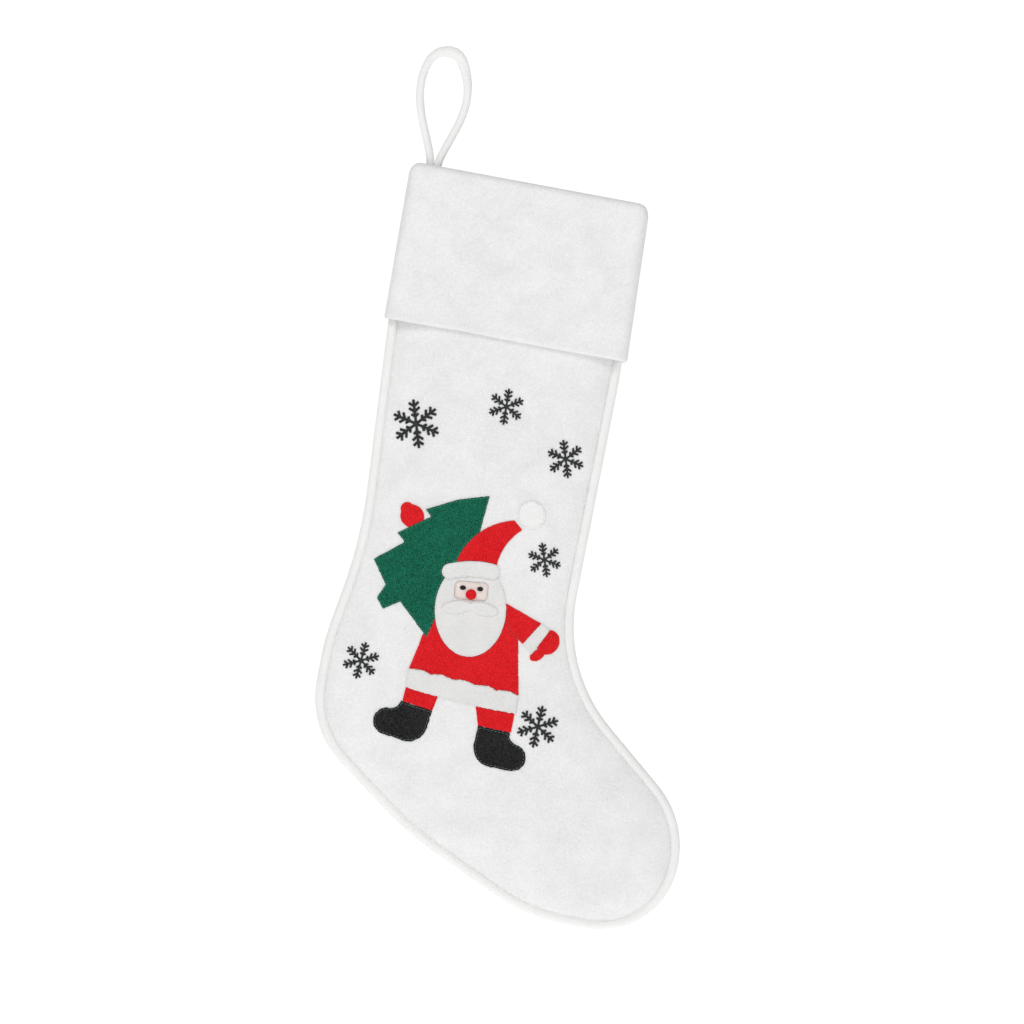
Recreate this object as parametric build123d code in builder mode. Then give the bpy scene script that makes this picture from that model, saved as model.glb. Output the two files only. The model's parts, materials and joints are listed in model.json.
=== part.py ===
from build123d import *
import math
import os

os.makedirs("parts", exist_ok=True)

# A felt stocking that hangs from a hook by a sewn loop, +Z up, front towards -Y.
# The origin is the inside top of the loop, where the hook bears.
# Pattern sizes are given on the cloth: u runs along the rim towards the toe side,
# v runs up the leg, both from the cuff's back top corner. Millimetres and degrees.

# ---------------------------------------------------------------- driving dimensions
hang_tilt = 10.5            # lean of the leg when it hangs from its back corner
hook_along = 8.2            # hook point, along the rim from the cuff's corner
hook_above = 69.6           # hook point, above the rim

stocking_height = 451.2     # rim to the lowest point of the sole
foot_length = 244.3         # cuff's back corner to the toe, along u
leg_back = 3.7              # back edge of the leg, under the cuff
leg_front = 149.4           # front edge of the leg at the rim
leg_front_hem = 152.9       # front edge of the leg at the cuff's hem
instep_along = 150.8        # where the front of the leg turns into the instep
instep_drop = 295.1         # the same corner, below the rim
ankle_along = 12.2          # hollow above the heel
ankle_drop = 238.0
heel_top_height = 148.2     # top of the heel's curve, above the sole
heel_along = 1.2
heel_height = 92.0
arch_along = 73.2
arch_height = 38.7
ball_along = 157.4
toe_height = 78.5

felt = 2.5                  # front and back panels
lining_felt = 1.0
panel_depth = 16.4          # front face to back face of the leg
panel_round = 3.5           # soft edge of each panel
seam_gap = 1.2              # between the panels, filled by the piping's lip

piping_dia = 6.5            # covered cord round the edge, outer diameter
piping_core_dia = 4.0
piping_skin_bore = 4.2      # inside of the cover
piping_lip = 7.0            # flat part of the cover, sewn between the panels
piping_top = -20.0          # the piping stops under the cuff

cuff_rim_width = 152.0
cuff_hem_width = 154.5
cuff_hem_shift = 1.2        # hem's back corner, along u
cuff_height = 98.9
cuff_wall = 2.5
cuff_side_wall = 2.2
cuff_clearance = 0.5        # between the panels' faces and the cuff
cuff_corner = 6.0           # rounded corners of the rim, seen from the front
cuff_round = 4.5            # soft long edges of the cuff
roll = 3.0                  # thickness of the fold over the rim
rim_clearance = 0.3
lip_depth = 15.0            # part of the cuff turned down inside the mouth
lip_wall = 1.2
fit_clearance = 0.1

loop_dia = 5.6
loop_slot_clearance = 0.4
hinge_height = 4.5          # fold line of the loop, above the rim
fold_clearance = 0.3
tack_depth = 8.0
tail_length = 14.0

thread = 0.6                # width of a line of stitching
thread_rise = 0.3
applique_felt = 1.0
plush = 1.5                 # white pile pieces
satin = 0.7                 # raised thread of the snowflakes

# Corners of the leg and foot on the outer edge of the piping, as (u, v, radius).
leg_corners = (
    (leg_back, -92.0, 400.0),                                # under the cuff, back
    (ankle_along, -ankle_drop, 280.0),                       # hollow above the heel
    (heel_along, heel_top_height - stocking_height, 150.0),  # top of the heel
    (heel_along, heel_height - stocking_height, 58.0),       # heel
    (arch_along, arch_height - stocking_height, 200.0),      # arch
    (ball_along, -stocking_height, 114.0),                   # ball of the foot
    (foot_length, -stocking_height, 49.0),                   # toe, below
    (foot_length, toe_height - stocking_height, 59.0),       # toe, above
    (instep_along, -instep_drop, 98.0),                      # instep
    (leg_front_hem, -108.0, 400.0),                          # under the cuff, front
)

# Route of the loop on the cloth, from one sewn end over the hook to the other.
loop_route = (
    (12.2, -14.0), (11.9, -4.5), (10.2, 5.0), (6.0, 16.5), (1.2, 28.5), (-2.6, 41.5), (-3.6, 53.5),
    (-2.5, 64.5), (2.5, 71.0), (10.5, 73.2), (18.2, 70.4), (22.8, 63.6), (26.6, 53.5), (27.6, 42.0),
    (26.0, 30.0), (22.2, 17.5), (18.9, 6.2), (17.1, -4.0), (16.6, -14.0),
)

# Snowflakes: place on the cloth, height over the points, turn of the first arm.
snowflakes = {
    "snowflake_upper_left": (33.2, -160.4, 31.9, 17.3),
    "snowflake_top": (86.5, -139.8, 23.8, 1.1),
    "snowflake_upper_right": (128.8, -165.1, 25.0, 17.5),
    "snowflake_mid_right": (127.3, -229.3, 22.5, 18.9),
    "snowflake_lower_left": (26.3, -311.7, 24.4, -5.1),
    "snowflake_lower_right": (142.1, -332.2, 27.8, -3.0),
}

# ---------------------------------------------------------------- planes of the cloth
lean = math.radians(hang_tilt)
along_rim = Vector(math.cos(lean), 0, -math.sin(lean))
up_leg = Vector(math.sin(lean), 0, math.cos(lean))
back_corner = along_rim * -hook_along - up_leg * hook_above
cloth = Plane(origin=back_corner, x_dir=along_rim, z_dir=(0, -1, 0))   # middle of the stocking
rim = Plane(origin=back_corner, x_dir=along_rim, z_dir=up_leg)         # across the mouth
leg_axis = Axis(back_corner, up_leg)

half_depth = panel_depth / 2
lining_half_depth = half_depth - felt
inner_half_depth = lining_half_depth - lining_felt
panel_top = -roll - rim_clearance
face = cloth.offset(half_depth)                                        # outside of the front panel


def save(piece, name):
    piece.label = name
    export_step(piece, f"parts/{name}.step")


# ---------------------------------------------------------------- leg profile
def leg_route(inset, top):
    """Corners and radii of the leg, drawn in from the piping's outer edge and cut at top."""
    corners = [Vector(u, v) for u, v, radius in leg_corners]
    ends = [Vector(leg_back, 0), Vector(leg_front, 0)]
    line = [ends[0], *corners, ends[1]]
    runs = [(b - a).normalized() for a, b in zip(line, line[1:])]
    inward = [Vector(-run.Y, run.X) for run in runs]
    points = []
    radii = []
    for place, (corner, (u, v, radius)) in enumerate(zip(corners, leg_corners)):
        before, after = inward[place], inward[place + 1]
        points.append(corner + (before + after) * (inset / (1 + before.dot(after))))
        turns_left = runs[place].cross(runs[place + 1]).Z > 0
        radii.append(radius - inset if turns_left else radius + inset)
    first = ends[0] + inward[0] * inset
    last = ends[1] + inward[-1] * inset
    first = first + runs[0] * ((top - first.Y) / runs[0].Y)
    last = last + runs[-1] * ((top - last.Y) / runs[-1].Y)
    return [(point.X, point.Y) for point in (first, *points, last)], radii


def leg_shape(inset, top):
    """Leg and foot as a flat face, open end at top."""
    points, radii = leg_route(inset, top)
    with BuildSketch() as shape:
        with BuildLine():
            FilletPolyline(*points, radius=radii)
            Line(points[-1], points[0])
        make_face()
    return shape.sketch


# ---------------------------------------------------------------- panels and linings
def tray(inset, top, wall, bottom, height, edge_round):
    """One cloth side of the leg: a shallow tray, its open side on the seam."""
    with BuildPart() as piece:
        with BuildSketch(cloth.offset(bottom)):
            add(leg_shape(inset, top))
        extrude(amount=height - bottom)
        soft_edges = piece.faces().sort_by(Axis.Y)[0].edges().sort_by(leg_axis)[:-1]
        fillet(soft_edges, edge_round)
        with BuildSketch(cloth.offset(bottom)):
            add(leg_shape(inset + wall, top + cuff_height))
        extrude(amount=height - wall - bottom, mode=Mode.SUBTRACT)
        with BuildSketch(rim.offset(-tail_length - thread)):
            with Locations((loop_slot_centre, 0)):
                Rectangle(loop_slot_length, loop_slot_width)
        extrude(amount=cuff_height, mode=Mode.SUBTRACT)
    return piece.part


loop_slot_width = loop_dia + 2 * loop_slot_clearance
loop_slot_centre = (loop_route[0][0] + loop_route[-1][0]) / 2
loop_slot_length = loop_route[-1][0] - loop_route[0][0] + 2 * loop_dia

with BuildPart() as front_panel:
    add(tray(piping_dia, panel_top, felt, seam_gap / 2, half_depth, panel_round))
save(front_panel.part, "front_panel")

with BuildPart() as back_panel:
    add(front_panel.part)
    mirror(about=cloth, mode=Mode.REPLACE)
save(back_panel.part, "back_panel")

lining_round = panel_round - felt
with BuildPart() as front_lining:
    add(tray(piping_dia + felt, panel_top, lining_felt, seam_gap, lining_half_depth, lining_round))
save(front_lining.part, "front_lining")

with BuildPart() as back_lining:
    add(front_lining.part)
    mirror(about=cloth, mode=Mode.REPLACE)
save(back_lining.part, "back_lining")


# ---------------------------------------------------------------- piping
def edge_tube(diameter):
    """Round tube along the middle of the piping."""
    points, radii = leg_route(piping_dia / 2, piping_top)
    with BuildPart() as tube:
        with BuildLine(cloth) as path:
            FilletPolyline(*points, radius=radii)
        with BuildSketch(Plane(origin=path.line @ 0, z_dir=path.line % 0)):
            Circle(diameter / 2)
        sweep(path=path.line)
    return tube.part


with BuildPart() as piping_cover:
    add(edge_tube(piping_dia))
    with BuildSketch(cloth.offset(-seam_gap / 2)):
        add(leg_shape(piping_dia - thread, piping_top))
        add(leg_shape(piping_dia + piping_lip, cuff_height), mode=Mode.SUBTRACT)
    extrude(amount=seam_gap)
    add(edge_tube(piping_skin_bore), mode=Mode.SUBTRACT)
save(piping_cover.part, "piping_cover")

with BuildPart() as piping_cord:
    add(edge_tube(piping_core_dia))
save(piping_cord.part, "piping_cord")

# Two lines of the lockstitch that closes the seam, one on each side of the piping's lip.
seam_line = piping_dia + felt + lining_felt + thread
with BuildPart() as seam_thread:
    for side in (seam_gap / 2, -seam_gap / 2 - thread_rise):
        with BuildSketch(cloth.offset(side)):
            add(leg_shape(seam_line, piping_top))
            add(leg_shape(seam_line + thread, cuff_height), mode=Mode.SUBTRACT)
        extrude(amount=thread_rise)
save(seam_thread.part, "seam_thread")


# ---------------------------------------------------------------- cuff
def cuff_edge(v):
    """Back and front edges of the cuff at height v."""
    share = -v / cuff_height
    back = cuff_hem_shift * share
    return back, back + cuff_rim_width + (cuff_hem_width - cuff_rim_width) * share


def cuff_outline(inset, top, bottom):
    back_top, front_top = cuff_edge(top)
    back_hem, front_hem = cuff_edge(bottom)
    return (
        (back_top + inset, top),
        (front_top - inset, top),
        (front_hem - inset, bottom),
        (back_hem + inset, bottom),
    )


cuff_half_depth = half_depth + cuff_clearance + cuff_wall
lip_half_depth = inner_half_depth - fit_clearance
mouth_half_depth = lip_half_depth - lip_wall
lining_inset = piping_dia + felt + lining_felt + fit_clearance
lip_back = leg_back + lining_inset
lip_front = leg_front - lining_inset
mouth_centre = (lip_back + lip_front) / 2
lip_length = lip_front - lip_back
mouth_length = lip_length - 2 * lip_wall
mouth_gap = 2 * mouth_half_depth

with BuildPart() as cuff:
    with BuildSketch(cloth) as band:
        Polygon(*cuff_outline(0, 0, -cuff_height), align=None)
        fillet(band.vertices().sort_by(Axis.Y)[-2:], cuff_corner)
    extrude(amount=cuff_half_depth, both=True)
    front_edges = cuff.faces().sort_by(Axis.Y)[0].edges().sort_by(leg_axis)[1:]
    back_edges = cuff.faces().sort_by(Axis.Y)[-1].edges().sort_by(leg_axis)[1:]
    fillet(front_edges + back_edges, cuff_round)
    with BuildSketch(cloth):
        Polygon(*cuff_outline(cuff_side_wall, -roll, -2 * cuff_height), align=None)
    extrude(amount=half_depth + cuff_clearance, both=True, mode=Mode.SUBTRACT)
    with BuildSketch(rim.offset(-lip_depth)):
        with Locations((mouth_centre, 0)):
            SlotOverall(lip_length, 2 * lip_half_depth)
    extrude(amount=lip_depth - roll / 2)
    with BuildSketch(rim.offset(-lip_depth)):
        with Locations((mouth_centre, 0)):
            SlotOverall(mouth_length, mouth_gap)
        with Locations((loop_slot_centre, 0)):
            Rectangle(loop_slot_length, loop_slot_width)
    extrude(amount=lip_depth, mode=Mode.SUBTRACT)
save(cuff.part, "cuff")

# Line of stitches that holds the turned-in lip to the lining, on the mouth's long sides.
cuff_stitch_drop = lip_depth - 3.0
stitch_start = loop_slot_centre + loop_slot_length / 2
stitch_end = mouth_centre + mouth_length / 2 - mouth_half_depth
with BuildPart() as cuff_seam_thread:
    with BuildSketch(rim.offset(-cuff_stitch_drop)):
        for side in (-1, 1):
            with Locations(((stitch_start + stitch_end) / 2, side * (mouth_half_depth - thread_rise / 2))):
                Rectangle(stitch_end - stitch_start, thread_rise)
    extrude(amount=thread)
save(cuff_seam_thread.part, "cuff_seam_thread")


# ---------------------------------------------------------------- hanging loop
def loop_radii():
    """Bend radius at each inner point: nearly half of the shorter run goes into the bend."""
    points = [Vector(u, v) for u, v in loop_route]
    radii = []
    for a, b, c in zip(points, points[1:], points[2:]):
        half_turn = math.radians((b - a).get_angle(c - b)) / 2
        radii.append(0.45 * min((b - a).length, (c - b).length) / math.tan(half_turn))
    return radii


with BuildPart() as loop_tube:
    with BuildLine(cloth) as loop_path:
        FilletPolyline(*loop_route, radius=loop_radii())
    with BuildSketch(Plane(origin=loop_path.line @ 0, z_dir=loop_path.line % 0)):
        Circle(loop_dia / 2)
    sweep(path=loop_path.line)

with BuildPart() as hanging_loop:
    add(loop_tube.part)
    split(bisect_by=rim.offset(hinge_height), keep=Keep.TOP)
save(hanging_loop.part, "hanging_loop")

tail_top = hinge_height - loop_dia / 2 - fold_clearance
with BuildPart() as loop_tail:
    add(loop_tube.part)
    split(bisect_by=rim.offset(tail_top), keep=Keep.BOTTOM)
save(loop_tail.part, "loop_tail")

with BuildPart() as loop_tack:
    with BuildSketch(rim.offset(-tack_depth - loop_dia / 2)):
        with Locations((loop_slot_centre, loop_slot_width / 4)):
            Rectangle(loop_route[-1][0] - loop_route[0][0] + loop_dia, loop_slot_width / 2)
    extrude(amount=loop_dia)
    add(loop_tail.part, mode=Mode.SUBTRACT)
save(loop_tack.part, "loop_tack")

# ---------------------------------------------------------------- figure: outlines on the cloth
head = Location((86.0, -256.5, 0), (0, 0, 6.0))           # middle of the face, with its lean
face_width = 21.0
face_height = 11.6

with BuildSketch() as face_shape:
    with Locations(head):
        RectangleRounded(face_width, face_height, 3.0)

with BuildLine() as brim_line:
    ThreePointArc((70.6, -247.0), (83.4, -243.1), (96.6, -242.4))
with BuildSketch() as brim_shape:
    SlotArc(brim_line.wire(), 9.8)

with BuildSketch() as hat_shape:
    with BuildLine():
        ThreePointArc((73.5, -240.0), (85.6, -218.6), (104.5, -208.4))
        Line((104.5, -208.4), (110.4, -213.5))
        ThreePointArc((110.4, -213.5), (101.8, -225.2), (98.7, -240.0))
        Line((98.7, -240.0), (73.5, -240.0))
    make_face()
    add(brim_shape.sketch, mode=Mode.SUBTRACT)

with BuildSketch() as pompom_shape:
    with Locations((114.3, -203.2)):
        Circle(8.6)
    add(hat_shape.sketch, mode=Mode.SUBTRACT)

with BuildSketch() as beard_shape:
    with Locations((87.6, -268.0)):
        Ellipse(22.2, 29.4, rotation=7.0)
    add(brim_shape.sketch, mode=Mode.SUBTRACT)
    add(face_shape.sketch, mode=Mode.SUBTRACT)

with BuildSketch() as moustache_shape:
    with Locations(head):
        for side in (-1, 1):
            with Locations((side * 8.2, -10.6)):
                Ellipse(9.4, 3.9, rotation=side * -9.0)

# The fir lies over the shoulder, its tip up and its trunk down to the left. Three tiers of branches
# show on its left side; the head and the coat cover most of its right side.
fir_points = (
    (86.6, -196.3), (67.8, -202.0), (48.6, -211.8), (53.1, -215.6),    # tip and first tier
    (34.0, -229.1), (39.6, -234.1),                                    # second tier
    (22.4, -248.0), (32.7, -262.2),                                    # third tier
    (28.9, -271.4), (33.9, -277.6), (43.6, -271.0),                    # trunk
    (63.7, -289.9), (72.0, -258.0), (83.0, -236.0), (84.7, -218.2),    # right side
)

over_fir = (hat_shape, brim_shape, beard_shape, face_shape)
with BuildSketch() as fir_shape:
    Polygon(*fir_points, align=None)
    for shape in over_fir:
        add(shape.sketch, mode=Mode.SUBTRACT)

with BuildSketch() as raised_mitten_shape:
    with Locations((41.3, -217.4)):
        Ellipse(7.6, 7.2, rotation=-20)
    with Locations((37.4, -213.4)):
        Circle(4.2)
    add(fir_shape.sketch, mode=Mode.SUBTRACT)

sleeve_points = ((108.4, -260.0), (132.6, -268.6), (123.4, -283.4), (113.0, -275.5))
with BuildSketch() as sleeve_shape:
    Polygon(*sleeve_points, align=None)
    for shape in (beard_shape, face_shape):
        add(shape.sketch, mode=Mode.SUBTRACT)

# White band round the bottom of the coat, with a scalloped upper edge.
hem_back = (56.4, -311.6)
hem_front = (126.8, -315.5)
hem_drop = 11.2
scallops = 5
scallop_rise = 1.3
with BuildSketch() as coat_hem_shape:
    with BuildLine():
        start = Vector(hem_back)
        step = (Vector(hem_front) - start) / scallops
        for turn in range(scallops):
            low = start + step * turn
            ThreePointArc(low, low + step / 2 + Vector(0, scallop_rise), low + step)
        Line(hem_front, (hem_front[0], hem_front[1] - hem_drop))
        ThreePointArc(
            (hem_front[0], hem_front[1] - hem_drop),
            (92.0, -326.2),
            (hem_back[0], hem_back[1] - hem_drop),
        )
        Line((hem_back[0], hem_back[1] - hem_drop), hem_back)
    make_face()

coat_points = ((61.6, -287.0), (70.0, -268.0), (108.4, -259.8), (120.4, -281.5), hem_front, hem_back)
with BuildSketch() as coat_shape:
    Polygon(*coat_points, align=None)
    for shape in (fir_shape, beard_shape, face_shape, sleeve_shape, coat_hem_shape):
        add(shape.sketch, mode=Mode.SUBTRACT)

trim_points = (sleeve_points[1], (138.7, -271.8), (130.0, -288.8), sleeve_points[2])
with BuildSketch() as sleeve_trim_shape:
    Polygon(*trim_points, align=None)

with BuildSketch() as hanging_mitten_shape:
    with Locations((138.9, -279.4)):
        Ellipse(7.0, 8.0, rotation=-20)
    with Locations((133.6, -288.6)):
        Ellipse(3.2, 5.0, rotation=-52)
    add(sleeve_trim_shape.sketch, mode=Mode.SUBTRACT)

leg_pieces = {}
left_leg = ((57.0, -319.0), (78.6, -319.0), (75.7, -334.3), (56.2, -331.8))
right_leg = ((99.4, -319.0), (126.5, -319.0), (126.4, -339.0), (105.2, -338.3))
for name, points in (("left_trouser_leg", left_leg), ("right_trouser_leg", right_leg)):
    with BuildSketch() as trouser_shape:
        Polygon(*points, align=None)
        add(coat_hem_shape.sketch, mode=Mode.SUBTRACT)
    leg_pieces[name] = trouser_shape.sketch

# Both boots are one pattern, turned over for the other foot: heel side of the shaft's top at the
# origin, toe along +x.
with BuildSketch() as right_boot_pattern:
    with BuildLine():
        Line((20.6, 0), (0, 0))
        Line((0, 0), (0, -11.0))
        ThreePointArc((0, -11.0), (2.9, -19.3), (10.5, -23.6))         # heel
        Line((10.5, -23.6), (24.0, -23.4))
        ThreePointArc((24.0, -23.4), (33.6, -15.0), (27.0, -6.6))      # toe
        ThreePointArc((27.0, -6.6), (22.2, -4.6), (20.6, 0))
    make_face()
with BuildSketch() as left_boot_pattern:
    add(right_boot_pattern.sketch)
    mirror(about=Plane.YZ, mode=Mode.REPLACE)

boot_places = {
    "left_boot": (left_boot_pattern, Location((75.7, -334.0, 0), (0, 0, -7.0))),
    "right_boot": (right_boot_pattern, Location((105.2, -338.2, 0), (0, 0, -2.0))),
}
boot_shapes = {}
for name, (pattern, place) in boot_places.items():
    with BuildSketch() as boot_shape:
        with Locations(place):
            add(pattern.sketch)
        for trouser in leg_pieces.values():
            add(trouser, mode=Mode.SUBTRACT)
    boot_shapes[name] = boot_shape.sketch


# ---------------------------------------------------------------- figure: pieces sewn on
def sewn_piece(name, shape, thickness, level=0.0):
    """A flat piece on the front panel, level above its face."""
    with BuildPart() as piece:
        with BuildSketch(face.offset(level)):
            add(shape)
        extrude(amount=thickness)
    save(piece.part, name)


sewn_piece("tree", fir_shape.sketch, applique_felt)
sewn_piece("raised_mitten", raised_mitten_shape.sketch, applique_felt)
sewn_piece("hat", hat_shape.sketch, applique_felt)
sewn_piece("hat_brim", brim_shape.sketch, plush)
sewn_piece("pompom", pompom_shape.sketch, plush)
sewn_piece("face", face_shape.sketch, applique_felt)
sewn_piece("beard", beard_shape.sketch, plush)
sewn_piece("moustache", moustache_shape.sketch, applique_felt, plush)
sewn_piece("coat", coat_shape.sketch, applique_felt)
sewn_piece("coat_hem_trim", coat_hem_shape.sketch, plush)
sewn_piece("sleeve", sleeve_shape.sketch, applique_felt)
sewn_piece("sleeve_trim", sleeve_trim_shape.sketch, plush)
sewn_piece("hanging_mitten", hanging_mitten_shape.sketch, applique_felt)
for name, shape in (leg_pieces | boot_shapes).items():
    sewn_piece(name, shape, applique_felt)

eye_spread = 5.4
eye_height = 1.6
with BuildSketch() as eye_shapes:
    with Locations(head):
        with Locations((-eye_spread, eye_height), (eye_spread, eye_height)):
            Ellipse(1.9, 1.4)
sewn_piece("eyes", eye_shapes.sketch, satin, applique_felt)

nose_radius = 3.3
nose_rise = 2.6
with BuildPart() as nose:
    with BuildSketch(face.offset(applique_felt)):
        with Locations(head):
            with Locations((0, -2.3)):
                Circle(nose_radius)
    extrude(amount=nose_rise)
    fillet(nose.faces().sort_by(Axis.Y)[0].edges(), nose_rise * 0.7)
save(nose.part, "nose")

# Pale running stitches just inside the edge of each boot.
stitch_inset = 1.1
for name, shape in boot_shapes.items():
    with BuildSketch() as stitch_line:
        offset(shape, amount=-stitch_inset)
        offset(shape, amount=-stitch_inset - thread, mode=Mode.SUBTRACT)
    sewn_piece(f"{name}_stitching", stitch_line.sketch, thread_rise, applique_felt)

# ---------------------------------------------------------------- embroidered snowflakes
arms = 6
stroke_share = 0.113                                        # stroke width over arm length
branches = ((0.30, 0.18), (0.50, 0.27), (0.73, 0.25))       # start and length, over arm length
branch_turn = 52.0

for name, (u, v, height, turn) in snowflakes.items():
    arm = height / 2 / (1 + stroke_share / 2)
    stroke = arm * stroke_share
    with BuildSketch() as flake:
        with Locations(Location((u, v, 0), (0, 0, turn + 90))):
            with PolarLocations(0, arms):
                with Locations((arm / 2, 0)):
                    SlotOverall(arm + stroke, stroke)
                for start, length in branches:
                    for side in (-branch_turn, branch_turn):
                        reach = Vector(arm * length, 0).rotate(Axis.Z, side)
                        middle = Vector(arm * start, 0) + reach / 2
                        with Locations(middle):
                            SlotOverall(reach.length + stroke, stroke, rotation=side)
    sewn_piece(name, flake.sketch, satin)

print("loop radii", [round(radius, 1) for radius in loop_radii()])
print("loop tube length", round(loop_path.wire().length, 1))
print("loop tube volume / (section x length)",
      round(loop_tube.part.volume / (math.pi * loop_dia**2 / 4 * loop_path.wire().length), 4))
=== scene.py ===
import bpy
import bmesh
import json
import math
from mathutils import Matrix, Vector, noise
from mathutils.kdtree import KDTree


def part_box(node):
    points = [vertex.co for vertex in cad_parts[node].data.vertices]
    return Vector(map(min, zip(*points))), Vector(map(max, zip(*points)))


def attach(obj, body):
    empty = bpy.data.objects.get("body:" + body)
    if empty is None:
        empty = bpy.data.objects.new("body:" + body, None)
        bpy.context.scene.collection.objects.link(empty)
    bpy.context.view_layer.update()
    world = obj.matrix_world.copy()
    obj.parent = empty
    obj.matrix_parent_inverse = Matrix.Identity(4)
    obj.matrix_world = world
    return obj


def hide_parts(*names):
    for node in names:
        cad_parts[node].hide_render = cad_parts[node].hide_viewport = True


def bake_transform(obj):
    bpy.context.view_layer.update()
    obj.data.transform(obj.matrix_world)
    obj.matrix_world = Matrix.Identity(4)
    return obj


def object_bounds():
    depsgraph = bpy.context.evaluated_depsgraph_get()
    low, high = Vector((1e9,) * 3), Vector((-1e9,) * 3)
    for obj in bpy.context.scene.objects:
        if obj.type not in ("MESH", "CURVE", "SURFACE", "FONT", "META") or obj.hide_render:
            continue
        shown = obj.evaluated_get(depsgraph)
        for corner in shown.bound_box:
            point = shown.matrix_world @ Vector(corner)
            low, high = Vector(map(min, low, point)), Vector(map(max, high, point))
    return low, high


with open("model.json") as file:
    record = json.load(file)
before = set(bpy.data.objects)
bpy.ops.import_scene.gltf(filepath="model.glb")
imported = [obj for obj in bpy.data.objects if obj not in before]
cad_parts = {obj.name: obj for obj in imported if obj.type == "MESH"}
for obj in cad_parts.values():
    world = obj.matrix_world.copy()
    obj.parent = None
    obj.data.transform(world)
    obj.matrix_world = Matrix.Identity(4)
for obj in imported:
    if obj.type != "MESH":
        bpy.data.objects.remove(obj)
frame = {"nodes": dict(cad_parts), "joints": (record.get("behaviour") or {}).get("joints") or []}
cad_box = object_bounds()

# ---------------------------------------------------------------- camera
# The stocking hangs in front of a long lens, square to its front face. The lens looks at the middle
# of the whole piece, loop and toe included, with a little room all round.
view_width = 0.640
lens = 135.0
sensor = 36.0
aim = Vector((0.0424, 0.0, -0.2857))
camera_data = bpy.data.cameras.new("camera")
camera_data.lens = lens
camera_data.sensor_width = sensor
camera = bpy.data.objects.new("camera", camera_data)
camera.location = aim + Vector((0, -view_width * lens / sensor, 0))
camera.rotation_euler = (math.radians(90), 0, 0)
bpy.context.scene.collection.objects.link(camera)
bpy.context.scene.camera = camera

# ---------------------------------------------------------------- hanging loop
# A strip of white cotton felt, folded into a round tube and sewn shut on its inner side. Both ends go
# down between the cuff and the lining, where they are tacked, and the crown is pressed flat and creased.
mm = 0.001
along_rim = Vector(frame["joints"][0]["axis"]).normalized()
up_leg = Vector((-along_rim.z, 0, along_rim.x))
outward = Vector((0, -1, 0))
hook_along = 8.2 * mm
hook_above = 69.6 * mm


def on_cloth(u, v, rise=0.0):
    """Row-frame point: u along the rim, v up the leg, rise in front of the middle of the stocking."""
    return along_rim * (u - hook_along) + up_leg * (v - hook_above) + outward * rise


def cloth_place(point):
    """u, v and rise of a row-frame point."""
    return point.dot(along_rim) + hook_along, point.dot(up_leg) + hook_above, -point.y


def new_piece(name, points, faces, material, smooth=True):
    mesh = bpy.data.meshes.new(name)
    mesh.from_pydata([tuple(point) for point in points], [], faces)
    outside = bmesh.new()
    outside.from_mesh(mesh)
    bmesh.ops.recalc_face_normals(outside, faces=outside.faces)
    outside.to_mesh(mesh)
    outside.free()
    mesh.polygons.foreach_set("use_smooth", [smooth] * len(mesh.polygons))
    mesh.materials.append(material)
    piece = bpy.data.objects.new(name, mesh)
    bpy.context.scene.collection.objects.link(piece)
    return piece


def smoothstep(low, high, value):
    share = min(max((value - low) / (high - low), 0.0), 1.0)
    return share * share * (3 - 2 * share)


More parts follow.
